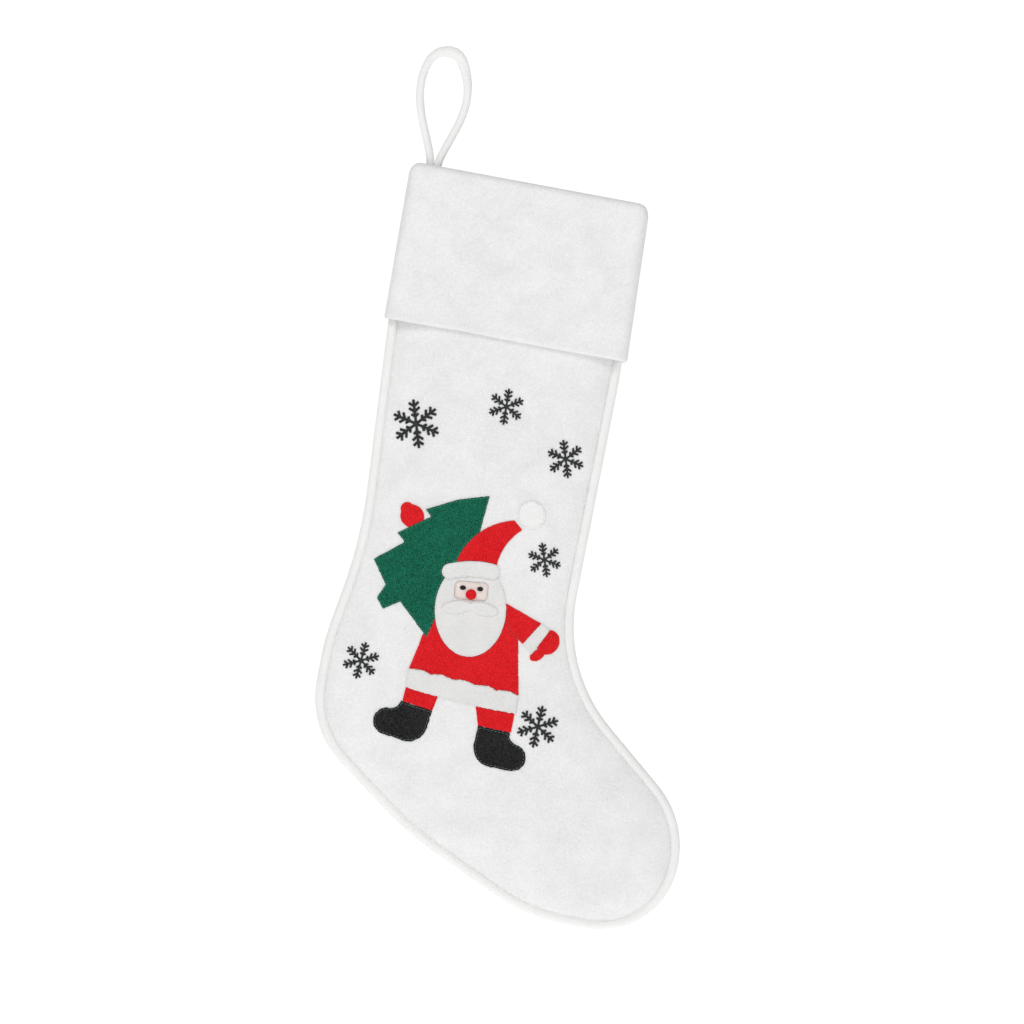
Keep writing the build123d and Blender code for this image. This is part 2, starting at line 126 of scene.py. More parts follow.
def cloth_material(
    name, light, dark, clump, weave_pitch, bump, sheen, contrast=0.16, weave_share=0.1, patch_share=0.28
):
    """Brushed cloth: clumped fibres over a faint knit that follows the leg's own lean."""
    material = bpy.data.materials.new(name)
    material.use_nodes = True
    nodes, links = material.node_tree.nodes, material.node_tree.links
    shader = nodes["Principled BSDF"]
    place = nodes.new("ShaderNodeTexCoord")
    turn = nodes.new("ShaderNodeMapping")
    turn.inputs["Rotation"].default_value = (0, -math.atan2(-along_rim.z, along_rim.x), 0)
    links.new(place.outputs["Object"], turn.inputs["Vector"])

    def noise_of(size, detail, rough, distort):
        grain = nodes.new("ShaderNodeTexNoise")
        grain.inputs["Scale"].default_value = 1 / size
        grain.inputs["Detail"].default_value = detail
        grain.inputs["Roughness"].default_value = rough
        grain.inputs["Distortion"].default_value = distort
        links.new(turn.outputs["Vector"], grain.inputs["Vector"])
        return grain.outputs["Fac"]

    def knit_of(direction):
        rows = nodes.new("ShaderNodeTexWave")
        rows.bands_direction = direction
        rows.inputs["Scale"].default_value = 0.314 / weave_pitch
        rows.inputs["Distortion"].default_value = 2.2
        rows.inputs["Detail"].default_value = 2.0
        rows.inputs["Detail Scale"].default_value = 1.4
        links.new(turn.outputs["Vector"], rows.inputs["Vector"])
        return rows.outputs["Fac"]

    def mixed(kind, first, second):
        sum_node = nodes.new("ShaderNodeMath")
        sum_node.operation = kind
        for socket, value in zip(sum_node.inputs, (first, second)):
            if isinstance(value, float):
                socket.default_value = value
            else:
                links.new(value, socket)
        return sum_node.outputs[0]

    fibres = noise_of(clump, 7.0, 0.72, 0.9)
    patches = noise_of(clump * 14, 3.0, 0.55, 0.3)
    knit = mixed("MULTIPLY", knit_of("X"), knit_of("Z"))
    height = mixed("ADD", fibres, mixed("MULTIPLY", knit, weave_share))
    tone = mixed(
        "ADD", mixed("MULTIPLY", height, 1 - patch_share), mixed("MULTIPLY", patches, patch_share)
    )
    colours = nodes.new("ShaderNodeValToRGB")
    colours.color_ramp.elements[0].position = 0.5 - contrast
    colours.color_ramp.elements[0].color = (*dark, 1)
    colours.color_ramp.elements[1].position = 0.5 + contrast
    colours.color_ramp.elements[1].color = (*light, 1)
    links.new(tone, colours.inputs["Fac"])
    links.new(colours.outputs["Color"], shader.inputs["Base Color"])
    relief = nodes.new("ShaderNodeBump")
    relief.inputs["Strength"].default_value = 1.0
    relief.inputs["Distance"].default_value = bump
    links.new(height, relief.inputs["Height"])
    links.new(relief.outputs["Normal"], shader.inputs["Normal"])
    shader.inputs["Roughness"].default_value = 0.95
    shader.inputs["Sheen Weight"].default_value = sheen
    shader.inputs["Sheen Roughness"].default_value = 0.45
    shader.inputs["Specular IOR Level"].default_value = 0.1
    return material


white_cotton = cloth_material(
    "white_cotton", (0.88, 0.88, 0.87), (0.80, 0.80, 0.79), 1.0 * mm, 1.1 * mm, 0.14 * mm, 0.1
)

loop_diameter = 5.6 * mm
loop_route = (
    (12.2, -14.0), (12.4, -4.5), (11.9, 4.0), (6.8, 16.5), (1.5, 28.5), (-2.3, 41.5), (-3.0, 53.5),
    (-0.8, 64.5), (4.4, 70.6), (11.6, 72.6), (18.0, 70.6), (22.6, 63.6), (26.6, 53.5), (27.6, 42.0),
    (25.6, 30.0), (21.4, 17.5), (17.1, 5.0), (16.4, -4.0), (16.6, -14.0),
)


def cord_line(name, points, steps=16):
    """Points along the NURBS line that has the given control points."""
    curve = bpy.data.curves.new(name, "CURVE")
    curve.dimensions = "3D"
    curve.resolution_u = steps
    spline = curve.splines.new("NURBS")
    spline.points.add(len(points) - 1)
    for knot, point in zip(spline.points, points):
        knot.co = (*point, 1)
    spline.order_u = 3
    spline.use_endpoint_u = True
    holder = bpy.data.objects.new(name, curve)
    bpy.context.scene.collection.objects.link(holder)
    graph = bpy.context.evaluated_depsgraph_get()
    line = bpy.data.meshes.new_from_object(holder.evaluated_get(graph))
    places = [vertex.co.copy() for vertex in line.vertices]
    bpy.data.objects.remove(holder)
    bpy.data.curves.remove(curve)
    bpy.data.meshes.remove(line)
    return places


def swept(name, line, section, material):
    """Closed tube along a line in the cloth's plane; section(share, walked) gives (side, rise) pairs."""
    total = sum((b - a).length for a, b in zip(line, line[1:]))
    points, faces, walked = [], [], 0.0
    for place, centre in enumerate(line):
        before, after = line[max(place - 1, 0)], line[min(place + 1, len(line) - 1)]
        ahead = (after - before).normalized()
        side = ahead.cross(outward).normalized()
        walked += (centre - before).length if place else 0.0
        ring = section(walked / total, walked)
        points += [centre + side * across + outward * rise for across, rise in ring]
    count = len(ring)
    for place in range(len(line) - 1):
        for step in range(count):
            here, there = place * count + step, place * count + (step + 1) % count
            faces.append((here, there, there + count, here + count))
    faces.append(tuple(range(count)))
    faces.append(tuple(range((len(line) - 1) * count, len(line) * count)))
    return new_piece(name, points, faces, material)


crown = 0.53                # share of the loop's length where it is pressed flat
crown_spread = 0.075
loop_sides = 32
seam_angle = math.radians(200)
crease_pitch = 2.9 * mm


def loop_section(share, walked):
    pressed = math.exp(-(((share - crown) / crown_spread) ** 2))
    wide = loop_diameter / 2 * (0.89 + 0.40 * pressed)
    deep = loop_diameter / 2 * (0.95 - 0.12 * pressed)
    uneven = 1 + 0.025 * noise.noise(Vector((walked / (6 * mm), 0.3, 0.7)))
    ring = []
    for step in range(loop_sides):
        angle = 2 * math.pi * step / loop_sides
        inner = max(0.0, math.cos(angle - math.pi))
        crease = 0.05 * pressed * inner * math.sin(2 * math.pi * walked / crease_pitch)
        fold_angle = math.radians(60 + 900 * (share - crown))
        fold = 0.24 * pressed * math.exp(-((math.sin((angle - fold_angle) / 2) / 0.15) ** 2))
        seam = 0.10 * math.exp(-((math.sin((angle - seam_angle) / 2) / 0.11) ** 2))
        size = uneven + crease - seam - fold
        ring.append((wide * size * math.cos(angle), deep * size * math.sin(angle)))
    return ring


loop_line = cord_line("loop_line", [on_cloth(u * mm, v * mm) for u, v in loop_route])
loop_piece = swept("hanging_loop_tube", loop_line, loop_section, white_cotton)
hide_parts("hanging_loop", "loop_tail")
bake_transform(loop_piece)

# ---------------------------------------------------------------- piping
# A cotton cord in a folded strip of white felt. The strip's two edges lie flat between the panels and
# are caught in the seam, so that the cord stands out as a round bead all the way round the leg.
def merged_copy(node):
    """The CAD node's mesh with its loose triangles joined."""
    copy = bmesh.new()
    copy.from_mesh(frame["nodes"][node].data)
    bmesh.ops.remove_doubles(copy, verts=copy.verts, dist=weld)
    return copy


def front_outlines(node):
    """Outlines of a node's front face, as lists of (u, v) that keep the cloth on one side."""
    copy = merged_copy(node)
    highest = max(-vertex.co.y for vertex in copy.verts)
    # The order of the faces is kept, so that every run starts an outline at the same corner.
    tops = dict.fromkeys(
        face for face in copy.faces
        if face.normal.dot(outward) > 0.999 and -face.calc_center_median().y > highest - 0.3 * mm
    )
    follow = {}
    for face in tops:
        for corner in face.loops:
            others = [other for other in corner.edge.link_faces if other in tops]
            if len(others) == 1:
                follow[corner.vert.index] = corner.link_loop_next.vert.index
    copy.verts.ensure_lookup_table()
    outlines = []
    while follow:
        start, place = follow.popitem()
        chain = [start]
        while place != start and place in follow:
            chain.append(place)
            place = follow.pop(place)
        outlines.append([cloth_place(copy.verts[index].co)[:2] for index in chain])
    copy.free()
    return outlines


def resampled(line, pitch, closed=False):
    """Evenly spaced points along a flat line."""
    line = [Vector(point) for point in line]
    if closed:
        line.append(line[0])
    total = sum((b - a).length for a, b in zip(line, line[1:]))
    count = max(int(round(total / pitch)), 3)
    step, due, walked, points = total / count, 0.0, 0.0, []
    for a, b in zip(line, line[1:]):
        run = (b - a).length
        while due <= walked + run + 1e-9 and len(points) <= count:
            points.append(a.lerp(b, (due - walked) / run if run else 0.0))
            due += step
        walked += run
    return points[:count] if closed else points


def moved_aside(line, distance, closed=False):
    """A flat line moved to its left by distance."""
    moved = []
    for place, point in enumerate(line):
        before = line[place - 1] if place or closed else point
        after = line[(place + 1) % len(line)] if place + 1 < len(line) or closed else point
        ahead = (after - before).normalized()
        moved.append(point + Vector((-ahead.y, ahead.x)) * distance)
    return moved


panel_round = 3.5 * mm
piping_radius = 3.25 * mm
piping_bore = 2.1 * mm
piping_lip = 7.0 * mm
lip_half = 0.58 * mm
piping_top = -20 * mm
line_step = 0.75 * mm       # between the points of the leg's line
weld = 0.002 * mm

# The flat of the front panel ends a rounding in from the seam. Its outline, without the top edge and
# moved out, is the middle of the piping.
panel_outline = max(front_outlines("front_panel"), key=len)
panel_top = max(v for u, v in panel_outline)
top_places = [place for place, (u, v) in enumerate(panel_outline) if v > panel_top - 0.5 * mm]
first = max(top_places, key=lambda place: -panel_outline[place][0])
turned = panel_outline[first:] + panel_outline[:first]
if turned[1][1] > panel_top - 0.5 * mm:
    turned = [turned[0]] + turned[:0:-1]
leg_line = resampled(turned[: len(turned) - (len(top_places) - 2)], 1.0 * mm)
leg_line = moved_aside(leg_line, -(panel_round + piping_radius))
back_top = [leg_line[0] + Vector((0, step * mm)) for step in range(20, 0, -1)]
front_top = [leg_line[-1] + Vector((0, step * mm)) for step in range(1, 21)]
leg_line = back_top + leg_line + front_top
for turn in range(8):
    inner = [(a + b * 2 + c) / 4 for a, b, c in zip(leg_line, leg_line[1:], leg_line[2:])]
    leg_line = [leg_line[0], *inner, leg_line[-1]]
leg_line = resampled(leg_line, line_step)
below = [place for place, point in enumerate(leg_line) if point.y <= piping_top]
piping_line = [on_cloth(*point) for point in leg_line[below[0]:below[-1] + 1:2]]

bead_steps = 26
bore_steps = 14
lip_angle = math.asin(lip_half / piping_radius)
slit = 0.03 * mm


def piping_section(share, walked):
    """A strip folded round the cord, its two edges side by side in the lip."""
    pucker = 1 + 0.018 * noise.noise(Vector((walked / (5 * mm), 1.7, 0.2)))
    outer = []
    for step in range(bead_steps + 1):
        angle = math.pi - lip_angle - (2 * math.pi - 2 * lip_angle) * step / bead_steps
        outer.append((piping_radius * pucker * math.cos(angle), piping_radius * pucker * math.sin(angle)))
    bore = []
    for step in range(bore_steps + 1):
        angle = -math.pi + 0.02 + (2 * math.pi - 0.04) * step / bore_steps
        bore.append((piping_bore * math.cos(angle), piping_bore * math.sin(angle)))
    tip = -piping_radius - piping_lip
    middle = (tip - piping_radius) / 2
    upper = [(tip, slit), (tip, lip_half), (middle, lip_half)]
    lower = [(middle, -lip_half), (tip, -lip_half), (tip, -slit)]
    return upper + outer + lower + bore


piping_piece = swept("piping_bead", piping_line, piping_section, white_cotton)
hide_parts("piping_cover")
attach(piping_piece, "stocking")
cord_cotton = cloth_material(
    "cord_cotton", (0.78, 0.76, 0.70), (0.62, 0.60, 0.54), 0.6 * mm, 1.2 * mm, 0.15 * mm, 0.1
)
frame["nodes"]["piping_cord"].data.materials.clear()
frame["nodes"]["piping_cord"].data.materials.append(cord_cotton)

# ---------------------------------------------------------------- front and back panels
# Two pieces of white brushed felt, cut to the same leg and sewn round their edge onto the piping's lip.
# They swell softly from the seam and lie nearly flat between the sides.
half_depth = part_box("back_panel")[1][1]
felt_thickness = 2.5 * mm
seam_rise = 0.62 * mm
edge_rise = 2.22 * mm
edge_overlap = 0.9 * mm     # cloth pulled over the inner side of the bead
cuff_hem = -98.9 * mm

middle_line = KDTree(len(leg_line))
for place, point in enumerate(leg_line):
    middle_line.insert((point.x, point.y, 0), place)
middle_line.balance()


def from_seam(u, v):
    """Distance in from the bead's inner side, and how far round the leg."""
    nearest, place, distance = middle_line.find((u, v, 0))
    before, after = leg_line[max(place - 1, 0)], leg_line[min(place + 1, len(leg_line) - 1)]
    ahead = after - before
    inside = ahead.x * (v - nearest.y) - ahead.y * (u - nearest.x)
    return math.copysign(distance, inside) - piping_radius, place * line_step


def leg_height(u, v, side):
    """Rise of the outside of a panel over the middle of the stocking; side is 1 in front, -1 behind."""
    inset, round_it = from_seam(u, v)
    inset = max(inset + edge_overlap, 0.0)
    bare = smoothstep(-50 * mm, -100 * mm, v)
    shoulder = (3.4 - 2.5 * bare) * mm
    shoulder_width = (2.5 + 1.5 * bare) * mm
    swell = (2.0 + 9.5 * bare) * mm
    rounding = 1 - min(inset / shoulder_width, 1.0)
    height = edge_rise + shoulder * math.sqrt(1 - rounding * rounding)
    height += (half_depth - edge_rise - shoulder) * (1 - math.exp(-((inset / swell) ** 1.15)))
    drift = 0.30 * noise.noise(Vector((u * 26, v * 17, side * 3.1)))
    ripple = 0.16 * noise.noise(Vector((u * 75, v * 60, side * 7.7)))
    pucker = 0.20 * math.exp(-inset / (5 * mm)) * noise.noise(Vector((round_it / (6 * mm), side, 0.5)))
    away = smoothstep(0, 14 * mm, inset)
    return height + bare * mm * ((drift + ripple) * away + pucker * smoothstep(0, 3.0 * mm, inset))


def leg_cells(inset, top, cell):
    """Even squares of cloth inside the leg, with their outer corners pulled onto its outline."""
    left, right = min(p.x for p in leg_line), max(p.x for p in leg_line)
    bottom = min(p.y for p in leg_line)
    columns, rows = int((right - left) / cell) + 1, int((top - bottom) / cell) + 1
    places, known = {}, []
    for row in range(rows + 1):
        for column in range(columns + 1):
            u, v = left + column * cell, top - row * cell
            if from_seam(u, v)[0] > inset - 0.3 * cell:
                places[column, row] = len(known)
                known.append(Vector((u, v)))
    faces, uses = [], [0] * len(known)
    for (column, row), here in places.items():
        corners = [here] + [places.get(key) for key in
                            ((column + 1, row), (column + 1, row + 1), (column, row + 1))]
        if None not in corners:
            faces.append(tuple(corners))
            for corner in corners:
                uses[corner] += 1
    kept = {old: new for new, old in enumerate(place for place in range(len(known)) if uses[place])}
    points = [known[old] for old in kept]
    faces = [tuple(kept[corner] for corner in face) for face in faces]
    beside = [set() for _ in points]
    border = {}
    for face in faces:
        for a, b in zip(face, face[1:] + face[:1]):
            beside[a].add(b)
            beside[b].add(a)
            border[a, b] = True
    rim_pairs = [(a, b) for a, b in border if (b, a) not in border]
    rim_places = {place for pair in rim_pairs for place in pair}

    def pulled(point):
        nearest, _, distance = middle_line.find((point.x, point.y, 0))
        towards = (point - Vector((nearest.x, nearest.y))).normalized()
        return Vector((nearest.x, nearest.y)) + towards * (piping_radius + inset)

    for turn in range(18):
        moved = list(points)
        for place, point in enumerate(points):
            near = beside[place]
            if place in rim_places:
                if point.y > top - 0.2 * cell:
                    if len(near) < 3:
                        moved[place] = Vector((pulled(point).x, top))
                else:
                    rim_near = [points[other] for other in near if other in rim_places]
                    average = sum(rim_near, Vector((0, 0))) / len(rim_near) if rim_near else point
                    moved[place] = pulled(point.lerp(average, 0.5 if turn else 0.0))
            elif from_seam(point.x, point.y)[0] < inset + 6 * cell:
                average = sum((points[other] for other in near), Vector((0, 0))) / len(near)
                moved[place] = point.lerp(average, 0.5)
        points = moved
    return points, faces, rim_pairs


def double_cloth(name, points, faces, rim_pairs, outer, inner, side, material):
    """Cloth with a thickness: an outer and an inner surface over the same cells, joined at the rim."""
    count = len(points)
    solid = [on_cloth(p.x, p.y, side * outer(p.x, p.y)) for p in points]
    solid += [on_cloth(p.x, p.y, side * inner(p.x, p.y)) for p in points]
    walls = [(a, b, b + count, a + count) for a, b in rim_pairs]
    under = [tuple(count + corner for corner in reversed(face)) for face in faces]
    return new_piece(name, solid, [*faces, *under, *walls], material)


white_felt = cloth_material(
    "white_felt", (0.87, 0.872, 0.87), (0.735, 0.737, 0.735), 1.3 * mm, 1.5 * mm, 0.30 * mm, 0.1, 0.12
)
cell = 1.5 * mm
leg_points, leg_faces, leg_rim = leg_cells(-edge_overlap, panel_top, cell)
for name, side in (("front", 1), ("back", -1)):
    panel = double_cloth(
        f"{name}_panel_felt", leg_points, leg_faces, leg_rim,
        lambda u, v: leg_height(u, v, side),
        lambda u, v: max(leg_height(u, v, side) - felt_thickness, seam_rise),
        side, white_felt,
    )
    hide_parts(f"{name}_panel")
    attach(panel, "stocking")

# ---------------------------------------------------------------- lining
# The same leg again in thin plain felt, one for each panel, sewn into the same seam. It shows only at
# the mouth, below the cuff's turned-in edge.
lining_thickness = 1.0 * mm
lining_felt = cloth_material(
    "lining_felt", (0.80, 0.80, 0.79), (0.68, 0.68, 0.67), 1.0 * mm, 1.2 * mm, 0.15 * mm, 0.1
)
lining_points, lining_faces, lining_rim = leg_cells(felt_thickness, panel_top, 3.0 * mm)
for name, side in (("front", 1), ("back", -1)):
    lining = double_cloth(
        f"{name}_lining_felt", lining_points, lining_faces, lining_rim,
        lambda u, v: max(leg_height(u, v, side) - felt_thickness - 0.1 * mm, seam_rise + 0.3 * mm),
        lambda u, v: max(leg_height(u, v, side) - felt_thickness - lining_thickness, seam_rise),
        side, lining_felt,
    )
    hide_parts(f"{name}_lining")
    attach(lining, "stocking")

# ---------------------------------------------------------------- cuff
# A band of the same white felt. It is sewn into the mouth, folded over the rim and turned down outside
# the leg, where it hangs clear and ends in a soft rolled hem.
cuff_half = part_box("cuff")[1][1]
cuff_wall = 2.5 * mm
rim_back, rim_front = 0.0, 152.0 * mm
hem_back, hem_front = 1.2 * mm, 155.7 * mm
mouth_back, mouth_front = 6.9 * mm, 137.7 * mm
mouth_half = 3.4 * mm
lip_bottom = -15.0 * mm
lip_wall = 1.2 * mm
roll_under = -3.0 * mm
roll_height = 4.4 * mm
hem_round = 1.6 * mm
stiff_end = 16 * mm         # length of cuff at each side fold that hangs without waves
cuff_front = 154 * mm
corner_drop = 3.0 * mm
end_length = 8.5 * mm
end_inset = 0.9             # how far the ends draw in for each step inward through the wall
long_steps = 104
end_steps = 18
square = 2.5


def band(back, front, half, end, power):
    """Points round a flat loop: along the front, round the toe side, back along the rear and round."""
    ring = []
    for side in (1, -1):
        start, stop = (back + end, front - end) if side > 0 else (front - end, back + end)
        for step in range(long_steps):
            ring.append((start + (stop - start) * step / long_steps, side * half))
        for step in range(end_steps):
            angle = math.pi / 2 - math.pi * step / end_steps
            reach = abs(math.cos(angle)) ** (2 / power)
            rise = math.copysign(abs(math.sin(angle)) ** (2 / power), math.sin(angle))
            ring.append((stop + side * end * reach, side * half * rise))
    return ring


def cuff_ring(inward, v):
    """Ring of the cuff at height v, inward from its outside; past the wall it runs over to the mouth."""
    share = min(max(v / cuff_hem, 0.0), 1.0)
    back = rim_back + (hem_back - rim_back) * share
    front = rim_front + (hem_front - rim_front) * share
    inset = min(inward, cuff_wall)
    drawn = inset * end_inset
    outer = band(back + drawn, front - drawn, cuff_half - inset, end_length - drawn, square)
    if inward <= cuff_wall:
        return outer
    mouth = band(mouth_back, mouth_front, mouth_half, mouth_half, 2.0)
    across = (inward - cuff_wall) / (cuff_half - mouth_half - cuff_wall)
    return [(a + (c - a) * across, b + (d - b) * across) for (a, b), (c, d) in zip(outer, mouth)]


roll_width = cuff_half - mouth_half
profile = []                # inward distance and height, from the lip over the rim to the hem and back up
for step in range(6):
    profile.append((roll_width, lip_bottom + (-roll_height - lip_bottom) * step / 6))
for step in range(17):
    angle = math.pi * step / 16
    profile.append((roll_width / 2 * (1 + math.cos(angle)), -roll_height * (1 - math.sin(angle))))
face_steps = 62
for step in range(1, face_steps):
    profile.append((0.0, -roll_height + (cuff_hem + hem_round + roll_height) * step / face_steps))
for step in range(9):
    angle = math.pi * step / 8
    profile.append((cuff_wall / 2 * (1 - math.cos(angle)), cuff_hem + hem_round * (1 - math.sin(angle))))
for step in range(1, 30):
    profile.append((cuff_wall, cuff_hem + hem_round + (roll_under - hem_round - cuff_hem) * step / 30))
for step in range(1, 5):
    profile.append((cuff_wall + (roll_width - lip_wall - cuff_wall) * step / 5, roll_under))
for step in range(5):
    profile.append((roll_width - lip_wall, roll_under + (lip_bottom - roll_under) * step / 5))
cuff_points = []
for inward, v in profile:
    for u, rise in cuff_ring(inward, v):
        facing = 1 if rise > 0 else -1
        loose = smoothstep(-6 * mm, -60 * mm, v)
        near_hem = math.exp(-((v - cuff_hem - 2.2 * mm) / (2.6 * mm)) ** 2)
        middle = smoothstep(0, stiff_end, u) * smoothstep(cuff_front, cuff_front - stiff_end, u)
        wave = 0.45 * noise.noise(Vector((u * 22, v * 14, facing * 2.3)))
        wave += 0.16 * noise.noise(Vector((u * 70, v * 55, facing * 5.1)))
        outward_by = mm * (wave * (0.35 + 0.65 * loose) * middle + 0.35 * near_hem * (inward < cuff_wall))
        hem_wave = mm * 0.9 * loose * noise.noise(Vector((u * 19, facing * 4.0, 0.4)))
        tuck = 0.45 * mm * smoothstep(10 * mm, 0, abs(u - 3 * mm)) * loose
        corner = max(0.0, 1 - min(u - rim_back, rim_front - u) / (7 * mm)) ** 2
        lowered = v - corner_drop * corner * smoothstep(-12 * mm, -2 * mm, v)
        cuff_points.append(on_cloth(u, lowered + hem_wave, rise + facing * (outward_by - tuck)))
count = 2 * (long_steps + end_steps)
cuff_faces = []
for row in range(len(profile)):
    for step in range(count):
        here, there = row * count + step, row * count + (step + 1) % count
        above = ((row + 1) % len(profile) - row) * count
        cuff_faces.append((here, there, there + above, here + above))
cuff_piece = new_piece("cuff_felt", cuff_points, cuff_faces, white_felt)
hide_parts("cuff")
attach(cuff_piece, "stocking")

# ---------------------------------------------------------------- figure
# Flat shapes of coloured felt and white pile, laid edge to edge on the front panel and stitched down.
# Each is pressed onto the swell of the panel under it.
tufts_per_metre = 900
nicks_per_metre = 1400
bites_per_metre = 450
apart = Vector((31.7, 17.3, 5.9))       # keeps the two directions of the frayed edge apart


def pressed_piece(name, node, material, grain=0.4 * mm, pile=0.0, fray=0.0, seed=1.0, sink=0.3 * mm):
    """A CAD shape as a soft-edged felt piece that lies on the panel."""
    copy = merged_copy(node)
    mesh = bpy.data.meshes.new(name)
    copy.to_mesh(mesh)
    copy.free()
    piece = bpy.data.objects.new(name, mesh)
    bpy.context.scene.collection.objects.link(piece)
    fine = piece.modifiers.new("grain", "REMESH")
    fine.mode = "VOXEL"
    fine.voxel_size = grain
    soft = piece.modifiers.new("soft", "SMOOTH")
    soft.factor = 0.5
    soft.iterations = 3
    graph = bpy.context.evaluated_depsgraph_get()
    pressed = bpy.data.meshes.new_from_object(piece.evaluated_get(graph))
    piece.modifiers.clear()
    piece.data = pressed
    bpy.data.meshes.remove(mesh)
    for vertex in pressed.vertices:
        u, v, rise = cloth_place(vertex.co)
        above = max(rise - half_depth, 0.0)
        spot = Vector((u, v, seed * mm))
        lift = pile * noise.noise(spot * tufts_per_metre) * smoothstep(0.3 * mm, 1.1 * mm, above)
        nick, bite = spot * nicks_per_metre, spot * bites_per_metre
        along = fray * (noise.noise(nick) + noise.noise(bite))
        up = fray * (noise.noise(nick + apart) + noise.noise(bite + apart))
        level = leg_height(u, v, 1) + rise - half_depth
        vertex.co = on_cloth(u + along, v + up, level + lift - sink)
    pressed.polygons.foreach_set("use_smooth", [True] * len(pressed.polygons))
    pressed.materials.clear()
    pressed.materials.append(material)
    pressed.name = name
    return piece


red_felt = cloth_material(
    "red_felt", (0.80, 0.021, 0.027), (0.47, 0.002, 0.004), 0.9 * mm, 1.3 * mm, 0.20 * mm, 0.02, 0.12,
    patch_share=0.10
)
green_felt = cloth_material(
    "green_felt", (0.013, 0.165, 0.099), (0.0, 0.026, 0.012), 0.9 * mm, 1.3 * mm, 0.22 * mm, 0.01, 0.10,
    patch_share=0.08
)
black_felt = cloth_material(
    "black_felt", (0.030, 0.030, 0.031), (0.0, 0.0, 0.0005), 0.9 * mm, 1.3 * mm, 0.22 * mm, 0.01, 0.10,
    patch_share=0.08
)
pink_felt = cloth_material(
    "pink_felt", (0.86, 0.755, 0.715), (0.77, 0.665, 0.625), 1.0 * mm, 1.2 * mm, 0.15 * mm, 0.05
)
white_pile = cloth_material(
    "white_pile", (0.80, 0.795, 0.785), (0.69, 0.685, 0.675), 1.2 * mm, 1.6 * mm, 0.3 * mm, 0.1
)
pompom_pile = cloth_material(
    "pompom_pile", (0.89, 0.89, 0.885), (0.79, 0.79, 0.785), 1.2 * mm, 1.6 * mm, 0.3 * mm, 0.1
)
black_satin = cloth_material(
    "black_satin", (0.022, 0.028, 0.030), (0.010, 0.013, 0.014), 0.5 * mm, 0.4 * mm, 0.05 * mm, 0.0
)

figure = {
    "tree": (green_felt, "green_felt", 0.0, 0.20),
    "raised_mitten": (red_felt, "red_felt", 0.0, 0.12),
    "hat": (red_felt, "red_felt", 0.0, 0.10),
    "hat_brim": (white_pile, "white_pile", 0.16, 0.16),
    "pompom": (pompom_pile, "white_pile", 0.22, 0.30),
    "face": (pink_felt, "pink_felt", 0.0, 0.05),
    "beard": (white_pile, "white_pile", 0.12, 0.12),
    "moustache": (white_pile, "white_pile", 0.14, 0.12),
    "coat": (red_felt, "red_felt", 0.0, 0.20),
    "coat_hem_trim": (white_pile, "white_pile", 0.14, 0.42),
    "sleeve": (red_felt, "red_felt", 0.0, 0.12),
    "sleeve_trim": (white_pile, "white_pile", 0.12, 0.14),
    "hanging_mitten": (red_felt, "red_felt", 0.0, 0.14),
    "left_trouser_leg": (red_felt, "red_felt", 0.0, 0.12),
    "right_trouser_leg": (red_felt, "red_felt", 0.0, 0.12),
    "left_boot": (black_felt, "black_felt", 0.0, 0.34),
    "right_boot": (black_felt, "black_felt", 0.0, 0.34),
}
for number, (node, (material, slot, pile, fray)) in enumerate(figure.items()):
    piece = pressed_piece(
        f"{node}_patch", node, material, pile=pile * mm, fray=fray * mm, seed=number * 3.7
    )
    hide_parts(node)
    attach(piece, "stocking")

nose_piece = pressed_piece("nose_button", "nose", red_felt, grain=0.25 * mm, seed=70.0)
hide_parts("nose")
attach(nose_piece, "stocking")
eyes_piece = pressed_piece("eyes_satin", "eyes", black_satin, grain=0.18 * mm, seed=75.0)
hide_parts("eyes")
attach(eyes_piece, "stocking")

